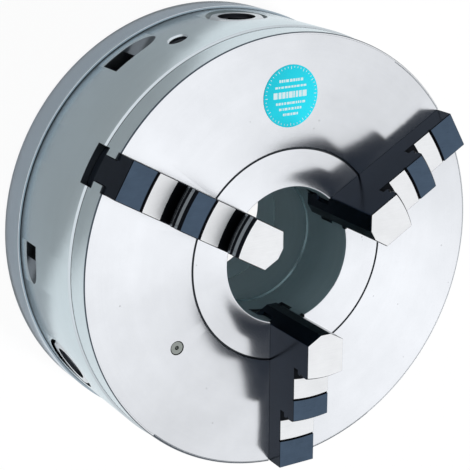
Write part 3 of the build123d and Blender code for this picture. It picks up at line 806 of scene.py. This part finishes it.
    def build(self, shop: Workshop) -> None:
        """Turns the body, cuts it, dresses it and reports it."""
        body = turn("housing_body", soften(self.profile(), 0.10), self.steps)
        cut(body, [self.slot_cutter(angle) for angle in JAW_ANGLES.values()])
        windows = [self.window_cutters(angle, *window) for angle in JAW_ANGLES.values() for window in self.windows]
        cut(body, [pair[0] for pair in windows])
        cut(body, [pair[1] for pair in windows])
        bore, mouth = self.pinion_bore_radius, self.mouth_chamfer
        cut(body, [rod("bore", (bore, bore), 40.0, radial_axes(angle, self.cavity_radius - 2, self.pinion_z))
                   for angle in PINION_ANGLES.values()])
        start = math.sqrt(self.body_radius**2 - bore**2) - mouth
        depth = self.body_radius + 1.0 - start
        cut(body, [rod("mouth", (bore, bore + depth), depth, radial_axes(angle, start, self.pinion_z))
                   for angle in PINION_ANGLES.values()])
        self.cut_lifting_hole(body)
        upright = [(heading(a) * self.mount_circle, self.mount_radius, self.joint_z - 1, self.mount_end_z)
                   for a in JAW_ANGLES.values()]
        upright.append((heading(self.oiler_place[1]) * self.oiler_place[0], self.oiler_radius + self.oiler_line,
                        self.face_z - self.oiler_depth, self.face_z + 1))
        holes = []
        for place, radius, low, high in upright:
            frame = axes(Vector((1, 0, 0)), Vector((0, 1, 0)), place + Vector((0, 0, low)))
            holes.append(rod("hole", (radius, radius), high - low, frame, 48))
        cut(body, holes)
        shop.paint(body, self.finish_at)
        smooth(body)
        shop.place(body, "housing", "body_iron", "chuck_body")

    def finish_at(self, middle: Vector, normal: Vector) -> Finish:
        """Chooses the finish of one face of the body."""
        radius = math.hypot(middle.x, middle.y)
        outward = normal.x * middle.x + normal.y * middle.y
        if self.at_mouth(middle, normal):
            return Finish.MOUTH
        along = heading(self.lifting_angle)
        reach = middle - along * middle.dot(along) - Vector((0, 0, self.lifting_z))
        near = reach.length < self.lifting_mouth + 1.5 and middle.dot(along) > self.cavity_radius
        # Painted shade: the lifting hole's thread is coloured near black; its countersink takes plain bright steel.
        if near and normal.dot(along) < self.cone_limit:
            return Finish.BRIGHT_EDGE if middle.dot(along) > self.body_radius - 1.5 else Finish.SOCKET
        # Painted shade: the hub groove is coloured near black.
        if abs(radius - self.hub_groove_radius) < 0.65 and middle.z > self.face_z - 1.2 and normal.z < 0.999:
            return Finish.GROOVE
        # Painted reflection: over part of the turn round the axis, the rim groove and the lip beyond it are coloured
        # dark in place of the face.
        if normal.z > 0.35 and middle.z > self.face_z - 0.5:
            past = (math.degrees(math.atan2(middle.y, middle.x)) - self.painted_reflection_from) % 360.0
            in_line = abs(radius - self.face_radius + 0.12) < 0.3 and normal.z < 0.995
            if (in_line and past < self.painted_reflection_groove_turn) or (radius > self.face_radius and past < self.painted_reflection_lip_turn):
                return Finish.RIM_LINE
            return Finish.GROUND_FACE
        # Painted reflection: the lower facets of the face's edge chamfer are coloured dark all round.
        if radius > self.face_radius - 0.1 and middle.z > self.face_z - 1.4 and normal.z > 0.2:
            return Finish.DARK_EDGE
        # Painted shade: the foot of the step shoulder is coloured near black; its outer part is plain steel.
        if radius > self.band_radius - 0.15 and middle.z > self.step_z - 1.0 and normal.z > 0.1:
            return Finish.GROOVE if radius < self.band_radius + 0.12 else Finish.BRIGHT_EDGE
        # The side's finish carries a painted reflection fan.
        if radius > self.band_radius - 0.1 and outward > 0 and abs(normal.z) < 0.1:
            return Finish.GROUND_SIDE
        # The body's lower edge chamfer is a dark joint line.
        if radius > self.body_radius - 1.0 and middle.z < self.joint_z + 1.0 and normal.z < 0:
            return Finish.GROOVE
        if radius < self.front_bore_radius + 0.05 and outward < 0:
            return Finish.BORE if abs(normal.z) < 0.2 else Finish.BORE_LINE
        # Painted shade: the remaining faces, pockets, windows, slots and holes among them, take a dark steel tone.
        return Finish.POCKET

    def at_mouth(self, middle: Vector, normal: Vector) -> bool:
        """Says whether a face belongs to the cone round a pinion."""
        for angle in PINION_ANGLES.values():
            along = heading(angle)
            off_axis = (middle - along * middle.dot(along) - Vector((0, 0, self.pinion_z))).length
            near = middle.dot(along) > 100 and off_axis < self.pinion_bore_radius + 4
            if near and 0.5 < normal.dot(along) < self.cone_limit:
                return True
        return False


@dataclass
class RearCover:
    """The cover that closes the back, with its register, screw holes and threads."""

    cover_radius: float = 126.0
    body_radius: float = 124.5
    joint_z: float = 19.5
    ledge_chamfer: float = 0.3
    back_chamfer: float = 1.0
    register_radius: float = 100.0
    register_depth: float = 5.0
    register_chamfer: float = 0.8
    collar_inner: float = 46.05
    collar_outer: float = 62.0
    collar_top_z: float = 52.0
    spigot_radius: float = 104.45
    spigot_z: float = 23.5
    circle: float = 112.0
    screw_offset: float = 13.0
    head_radius: float = 6.7
    head_depth: float = 9.0
    screw_radius: float = 4.05
    mount_radius: float = 5.1
    stop_place: Point = (113.5, 14.5)
    journal_radius: float = 5.06
    pinion_z: float = 43.5
    steps: int = 360

    def build(self, shop: Workshop) -> None:
        """Turns the cover, drills it, dresses it and reports it."""
        profile = [
            (self.collar_inner, self.register_depth), (self.register_radius, self.register_depth),
            (self.register_radius, self.register_chamfer), (self.register_radius + self.register_chamfer, 0.0),
            (self.cover_radius - self.back_chamfer, 0.0), (self.cover_radius, self.back_chamfer),
            (self.cover_radius, self.joint_z - self.ledge_chamfer),
            (self.cover_radius - self.ledge_chamfer, self.joint_z),
            (self.body_radius + 0.45, self.joint_z - 0.02), (self.spigot_radius, self.joint_z),
            (self.spigot_radius, self.spigot_z), (self.collar_outer, self.spigot_z),
            (self.collar_outer, self.collar_top_z), (self.collar_inner, self.collar_top_z)]
        cover = turn("rear_cover_turned", soften(profile, 0.10), self.steps)
        x_axis, y_axis = Vector((1, 0, 0)), Vector((0, 1, 0))

        def drill(place: Vector, radius: float, low: float, high: float) -> bpy.types.Object:
            """Makes one upright drill."""
            frame = axes(x_axis, y_axis, place + Vector((0, 0, low)))
            return rod("drill", (radius, radius), high - low, frame, 48)

        screws = [heading(angle + side * self.screw_offset) * self.circle
                  for angle in JAW_ANGLES.values() for side in (-1, 1)]
        cut(cover, [drill(place, self.head_radius, -1.0, self.head_depth) for place in screws])
        mounts = [heading(angle) * self.circle for angle in JAW_ANGLES.values()]
        stops = [heading(angle) * self.stop_place[0] + heading(angle + 90) * self.stop_place[1]
                 for angle in PINION_ANGLES.values()]
        cut(cover, [drill(place, self.mount_radius, -1.0, self.joint_z + 1) for place in mounts]
            + [drill(place, self.screw_radius, -1.0, self.joint_z + 1) for place in stops])
        cut(cover, [rod("journal", (self.journal_radius,) * 2, 14.0,
                        radial_axes(angle, self.collar_inner + 3.0, self.pinion_z), 48)
                    for angle in PINION_ANGLES.values()])
        shop.paint(cover, self.finish_at)
        smooth(cover)
        shop.place(cover, "housing", "cover_iron", "rear_cover")

    def finish_at(self, middle: Vector, normal: Vector) -> Finish:
        """Chooses the finish of one face of the cover."""
        radius = math.hypot(middle.x, middle.y)
        outward = normal.x * middle.x + normal.y * middle.y
        # The cover side's finish carries a painted reflection fan.
        if radius > self.cover_radius - 0.1 and abs(normal.z) < 0.3:
            return Finish.COVER_SIDE
        if radius > self.body_radius - 1.0 and normal.z > 0.3:
            if radius > self.cover_radius - self.ledge_chamfer:
                return Finish.BRIGHT_EDGE
            # Painted shadow: the ring of the ledge next to the body is coloured near black.
            return Finish.LEDGE if radius > self.body_radius + 0.4 else Finish.GROOVE
        if normal.z < -0.5:
            return Finish.COVER_BACK
        if outward < 0 and radius > self.register_radius - 1:
            return Finish.COVER_BACK
        # Painted shade: the remaining faces of the cover, its holes among them, take a dark steel tone.
        return Finish.POCKET


# ---------------------------------------------------------------- jaws
@dataclass
class Jaws:
    """The three stepped jaws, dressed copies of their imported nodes."""

    face_z: float = 100.0
    levels: tuple[float, ...] = (111.6, 124.8, 138.1)
    risers: tuple[float, ...] = (89.2, 59.2)
    seat_width: float = 16.45
    seat_line_width: float = 1.0
    relief_height: float = 3.6
    rib_height: float = 2.9
    rib_gap: float = 1.7
    half_width: float = 11.3
    end_radius: float = 121.7
    edge_break: float = 0.4
    teeth_z: float = 84.0
    teeth_radius: float = 75.0
    # Width of the band of painted shade laid on each seat at its riser's foot.
    painted_foot_shade_width: float = 4.1
    leans: tuple[float, ...] = (-8.0, -4.0, 0.0, 4.0, 8.0)

    def build(self, shop: Workshop, nodes: dict[str, bpy.types.Object]) -> None:
        """Copies, bevels, dresses and reports each jaw."""
        for number, angle in JAW_ANGLES.items():
            jaw = copy_of(nodes[f"jaw_{number}"], f"jaw_{number}_dressed")
            self.part_seats(jaw, angle)
            shop.dress(jaw, [Finish.JAW_LINE])
            bevel_where(jaw, self.shows, self.edge_break, 0)
            shop.paint(jaw, lambda middle, normal, a=angle: self.finish_at(middle, normal, a))
            smooth(jaw, 25)
            shop.place(jaw, f"jaw_{number}", "jaw_steel", f"jaw_{number}")

    def part_seats(self, jaw: bpy.types.Object, angle: float) -> None:
        """Divides each seat along the foot of its riser with cuts that follow the riser's curve, so that a band of
        painted shade can be laid there.
        """
        for level, riser in zip(self.levels, self.risers):
            for lean in self.leans:
                edit_all(jaw)
                bpy.ops.mesh.select_mode(type="FACE")
                bpy.ops.mesh.select_all(action="DESELECT")
                close_edit()
                for face in jaw.data.polygons:
                    face.select = face.normal.z > 0.98 and abs(face.center.z / MM - level) < 0.2
                bpy.ops.object.mode_set(mode="EDIT")
                normal = heading(angle + lean)
                bpy.ops.mesh.bisect(plane_co=normal * (riser + self.painted_foot_shade_width) * MM, plane_no=normal)
                close_edit()

    def shows(self, first: Vector, second: Vector) -> bool:
        """Says whether an edge stands above the chuck's face."""
        return min(first.z, second.z) > self.face_z + 0.5

    def finish_at(self, middle: Vector, normal: Vector, angle: float) -> Finish:
        """Chooses the finish of one face of a jaw.

        Args:
            middle: The middle of the face, in millimetres.
            normal: Its normal.
            angle: The direction of the jaw.

        Returns:
            Ground on the seats, blue on the tops, grey on the ribs, painted shade in a black band at the foot of each
            riser, and black elsewhere.
        """
        along = heading(angle)
        radius = math.hypot(middle.x, middle.y)
        for level, riser in zip(self.levels, self.risers):
            line = riser + self.seat_width
            if normal.z > 0.98 and abs(middle.z - level) < 0.2:
                # Painted shade: a black band on the seat at the foot of each riser.
                if all(middle.dot(heading(angle + lean)) < riser + self.painted_foot_shade_width for lean in self.leans):
                    return Finish.JAW_LINE
                return Finish.JAW_SEAT if radius < line else Finish.JAW_TOP
            if normal.dot(along) > 0.9 and level < middle.z < level + 13.0 and abs(radius - riser) < 0.4:
                return Finish.JAW_RIB
        if normal.z > 0.98 and abs(middle.z - self.levels[2]) < 0.2:
            return Finish.JAW_SEAT
        across = abs(normal.dot(heading(angle + 90)))
        if middle.z < self.teeth_z and radius < self.teeth_radius:
            return Finish.JAW_TEETH
        if middle.z < self.face_z or (abs(normal.z) < 0.2 and not 0.55 < across < 0.85):
            return Finish.JAW_FLANK
        return Finish.JAW_LINE


# ---------------------------------------------------------------- small parts
@dataclass
class SmallParts:
    """Pinions, screws, oiler and dowels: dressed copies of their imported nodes."""

    pinion_z: float = 43.5
    socket_half: float = 9.3
    pinion_end: float = 123.7
    mouth_radius: float = 10.7

    def build(self, shop: Workshop, nodes: dict[str, bpy.types.Object]) -> None:
        """Copies, dresses and reports each small part, and dresses the scroll where it stands."""
        for number, angle in PINION_ANGLES.items():
            pinion = copy_of(nodes[f"pinion_{number}"], f"pinion_{number}_dressed")
            shop.paint(pinion, lambda middle, normal, a=angle: self.pinion_finish(middle, normal, a))
            smooth(pinion)
            shop.place(pinion, f"pinion_{number}", "pinion_steel", f"pinion_{number}")
        groups = (("cover_screw_", 6, Finish.SCREW, "screw_steel"), ("pinion_stop_screw_", 3, Finish.SCREW,
                  "screw_steel"), ("cover_dowel_", 2, Finish.DOWEL, "dowel_steel"))
        for prefix, count, finish, slot in groups:
            for number in range(1, count + 1):
                self.dress_copy(shop, nodes, f"{prefix}{number}", finish, slot)
        self.dress_copy(shop, nodes, "oiler_body", Finish.OILER, "oiler_brass")
        self.dress_copy(shop, nodes, "oiler_ball", Finish.BALL, "ball_steel")
        shop.dress(nodes["scroll"], [Finish.SCROLL])

    def dress_copy(self, shop: Workshop, nodes: dict[str, bpy.types.Object], name: str, finish: Finish,
                   slot: str) -> None:
        """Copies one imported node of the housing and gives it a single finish."""
        piece = copy_of(nodes[name], f"{name}_dressed")
        shop.dress(piece, [finish])
        smooth(piece)
        shop.place(piece, "housing", slot, name)

    def pinion_finish(self, middle: Vector, normal: Vector, angle: float) -> Finish:
        """Chooses ground steel outside a pinion and painted shade, near black, inside its key socket."""
        along = heading(angle)
        out = middle.dot(along)
        off_axis = (middle - along * out - Vector((0, 0, self.pinion_z))).length
        inside = off_axis < self.mouth_radius and out > self.pinion_end - 24
        flush = normal.dot(along) > 0.5 and out > self.pinion_end - 1
        return Finish.SOCKET if inside and not flush else Finish.PINION


@dataclass
class Badge:
    """The round foil badge, with a plain printed pattern of rings, ticks and dashes."""

    radius: float = 17.0
    thickness: float = 0.4
    place: Point = (89.5, 90.0)
    face_z: float = 100.0
    print_height: float = 0.03
    ticks: int = 48
    seed: int = 4
    rows: tuple[tuple[float, float, float], ...] = field(
        default=((8.6, 1.5, 15.0), (5.2, 1.1, 20.0), (0.9, 3.4, 22.0), (-3.6, 1.3, 19.0), (-6.7, 1.3, 15.0),
                 (-9.7, 1.3, 10.0)))

    def frame(self, height: float) -> Matrix:
        """Gives the badge's frame at a height above the chuck's face."""
        centre = heading(self.place[1]) * self.place[0] + Vector((0, 0, self.face_z + height))
        return axes(Vector((1, 0, 0)), Vector((0, 1, 0)), centre)

    def build(self, shop: Workshop) -> None:
        """Builds the foil and its print, and reports them."""
        foil = rod("badge_foil", (self.radius, self.radius), self.thickness - self.print_height, self.frame(0.0))
        edit_all(foil)
        bpy.ops.mesh.select_all(action="DESELECT")
        bpy.ops.mesh.edges_select_sharp(sharpness=math.radians(60))
        bpy.ops.mesh.bevel(offset=0.12 * MM, segments=2, affect="EDGES")
        close_edit()
        shop.dress(foil, [Finish.FOIL])
        smooth(foil)
        shop.place(foil, "housing", "badge_foil", "badge")
        draw = random.Random(self.seed)
        marks = []
        top = self.frame(self.thickness - self.print_height)
        for index in range(self.ticks):
            turn_ = Matrix.Rotation(index * FULL_TURN / self.ticks, 4, "Z")
            long_tick = index % 4 == 0
            inner = self.radius * (0.86 if long_tick else 0.90)
            marks.append(self.bar(top @ turn_, (inner, self.radius * 0.95), (-0.16, 0.16)))
        for height, size, width in self.rows:
            left = -width / 2
            while left < width / 2 - 0.8:
                wide = draw.uniform(0.7, 1.9) * (1.4 if size > 2 else 1.0)
                right = min(left + wide, width / 2)
                marks.append(self.bar(top, (left, right), (height - size / 2, height + size / 2)))
                left = right + draw.uniform(0.35, 0.7)
        printed = join(marks)
        printed.name = printed.data.name = "badge_print"
        shop.dress(printed, [Finish.PRINT])
        shop.place(printed, "housing", "badge_foil")

    def bar(self, frame: Matrix, across: Point, along: Point) -> bpy.types.Object:
        """Makes one raised printed bar between two x and two y places."""
        corners = [(across[0], along[0]), (across[1], along[0]), (across[1], along[1]), (across[0], along[1])]
        return prism("bar", corners, frame, self.print_height)


# ---------------------------------------------------------------- studio
@dataclass
class Studio:
    """Camera, lamps, world and floor."""

    camera_place: tuple[float, float, float] = (-0.42054, 0.26227, 0.74782)
    look: tuple[float, float, float] = (0.4871, -0.3088, -0.8169)
    up: tuple[float, float, float] = (0.1558, 0.9511, -0.2666)
    lens: float = 113.4
    sensor: float = 36.0
    sun_azimuth: float = -38.0
    sun_elevation: float = 33.0
    sun_strength: float = 2.8
    sun_softness: float = 12.0
    sky_strength: float = 0.42
    floor_radius: float = 4.0
    open_from: float = 0.045
    open_to: float = 0.1252
    shadow_share: float = 0.08
    floor_glow: float = 1.02

    def build(self) -> None:
        """Builds the whole studio."""
        self.add_camera()
        self.add_lamps()
        self.add_world()
        self.add_floor()

    def add_camera(self) -> None:
        """Stands the camera in front of the chuck, above its left side."""
        data = bpy.data.cameras.new("camera")
        data.lens, data.sensor_width = self.lens, self.sensor
        data.clip_start, data.clip_end = 0.01, 20.0
        camera = bpy.data.objects.new("camera", data)
        bpy.context.scene.collection.objects.link(camera)
        back = -Vector(self.look).normalized()
        right = Vector(self.up).cross(back).normalized()
        up = back.cross(right)
        camera.matrix_world = Matrix.Translation(self.camera_place) @ Matrix((right, up, back)).transposed().to_4x4()
        bpy.context.scene.camera = camera

    def add_lamps(self) -> None:
        """Adds one large soft sun from the far right, which the metal doesn't mirror."""
        data = bpy.data.lights.new("key", "SUN")
        data.energy, data.angle = self.sun_strength, math.radians(self.sun_softness)
        lamp = bpy.data.objects.new("key", data)
        elevation = math.radians(self.sun_elevation)
        towards = heading(self.sun_azimuth) * math.cos(elevation) + Vector((0, 0, math.sin(elevation)))
        lamp.rotation_euler = towards.to_track_quat("Z", "Y").to_euler()
        lamp.visible_glossy = False
        bpy.context.scene.collection.objects.link(lamp)

    def add_world(self) -> None:
        """Makes a surround that is white where it is seen or mirrored, and lights softly."""
        world = bpy.data.worlds.new("studio")
        bpy.context.scene.world = world
        world.use_nodes = True
        tree = world.node_tree
        background = tree.nodes["Background"]
        path = tree.nodes.new("ShaderNodeLightPath")
        seen = tree.nodes.new("ShaderNodeMath")
        seen.operation = "MAXIMUM"
        tree.links.new(path.outputs["Is Camera Ray"], seen.inputs[0])
        also = tree.nodes.new("ShaderNodeMath")
        also.operation = "MAXIMUM"
        tree.links.new(path.outputs["Is Glossy Ray"], also.inputs[0])
        tree.links.new(path.outputs["Is Transmission Ray"], also.inputs[1])
        tree.links.new(also.outputs[0], seen.inputs[1])
        level = tree.nodes.new("ShaderNodeMapRange")
        level.inputs["To Min"].default_value = self.sky_strength
        level.inputs["To Max"].default_value = 1.0
        tree.links.new(seen.outputs[0], level.inputs["Value"])
        tree.links.new(level.outputs[0], background.inputs["Strength"])
        background.inputs["Color"].default_value = (0.97, 0.985, 1.0, 1.0)

    def add_floor(self) -> None:
        """Lays a white floor that keeps a faint shadow, and is clear from below.

        It is open where the chuck's back hides it, so that light reaches the back from below.
        """
        deselect()
        bpy.ops.mesh.primitive_circle_add(vertices=96, radius=self.open_from, fill_type="NGON")
        middle = bpy.context.object
        deselect()
        bpy.ops.mesh.primitive_circle_add(vertices=96, radius=self.open_to)
        around = bpy.context.object
        edit_all(around)
        bpy.ops.mesh.extrude_region_move()
        bpy.ops.transform.resize(value=(self.floor_radius / self.open_to,) * 3)
        close_edit()
        for part in (middle, around):
            if part.data.polygons[0].normal.z < 0:
                edit_all(part)
                bpy.ops.mesh.flip_normals()
                close_edit()
        floor = join([middle, around])
        floor.name = "floor"
        material = bpy.data.materials.new("floor_white")
        material.use_nodes = True
        tree = material.node_tree
        tree.nodes.clear()
        add = tree.nodes.new
        output, diffuse, white = (add("ShaderNodeOutputMaterial"), add("ShaderNodeBsdfDiffuse"),
                                  add("ShaderNodeEmission"))
        clear, path, geometry = (add("ShaderNodeBsdfTransparent"), add("ShaderNodeLightPath"),
                                 add("ShaderNodeNewGeometry"))
        diffuse.inputs["Color"].default_value = (0.90, 0.90, 0.90, 1.0)
        white.inputs["Strength"].default_value = self.floor_glow
        share = add("ShaderNodeMath")
        share.operation = "MULTIPLY"
        share.inputs[1].default_value = 1.0 - self.shadow_share
        tree.links.new(path.outputs["Is Camera Ray"], share.inputs[0])
        seen, side = add("ShaderNodeMixShader"), add("ShaderNodeMixShader")
        tree.links.new(share.outputs[0], seen.inputs[0])
        tree.links.new(diffuse.outputs[0], seen.inputs[1])
        tree.links.new(white.outputs[0], seen.inputs[2])
        tree.links.new(geometry.outputs["Backfacing"], side.inputs[0])
        tree.links.new(seen.outputs[0], side.inputs[1])
        tree.links.new(clear.outputs[0], side.inputs[2])
        tree.links.new(side.outputs[0], output.inputs["Surface"])
        floor.data.materials.append(material)
        floor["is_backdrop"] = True


def corners(bounds: tuple[Vector, Vector]) -> list[list[float]]:
    """Turns a pair of corners into plain lists of numbers."""
    return [list(corner) for corner in bounds]


def main() -> None:
    """Loads the frame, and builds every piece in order."""
    logging.basicConfig(level=logging.INFO, format="%(name)s: %(message)s")
    bpy.ops.object.select_all(action="SELECT")
    bpy.ops.object.delete()
    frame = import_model()
    cad_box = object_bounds()
    nodes = frame["nodes"]
    scene = bpy.context.scene
    scene.view_settings.view_transform = "Standard"
    Studio().build()
    shop = Workshop()
    ChuckBody().build(shop)
    RearCover().build(shop)
    Jaws().build(shop, nodes)
    SmallParts().build(shop, nodes)
    Badge().build(shop)
    {"cad": corners(cad_box), "visual": corners(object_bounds())}
    LOG.info("%d pieces made", len(shop.made))


if __name__ == "__main__":
    main()
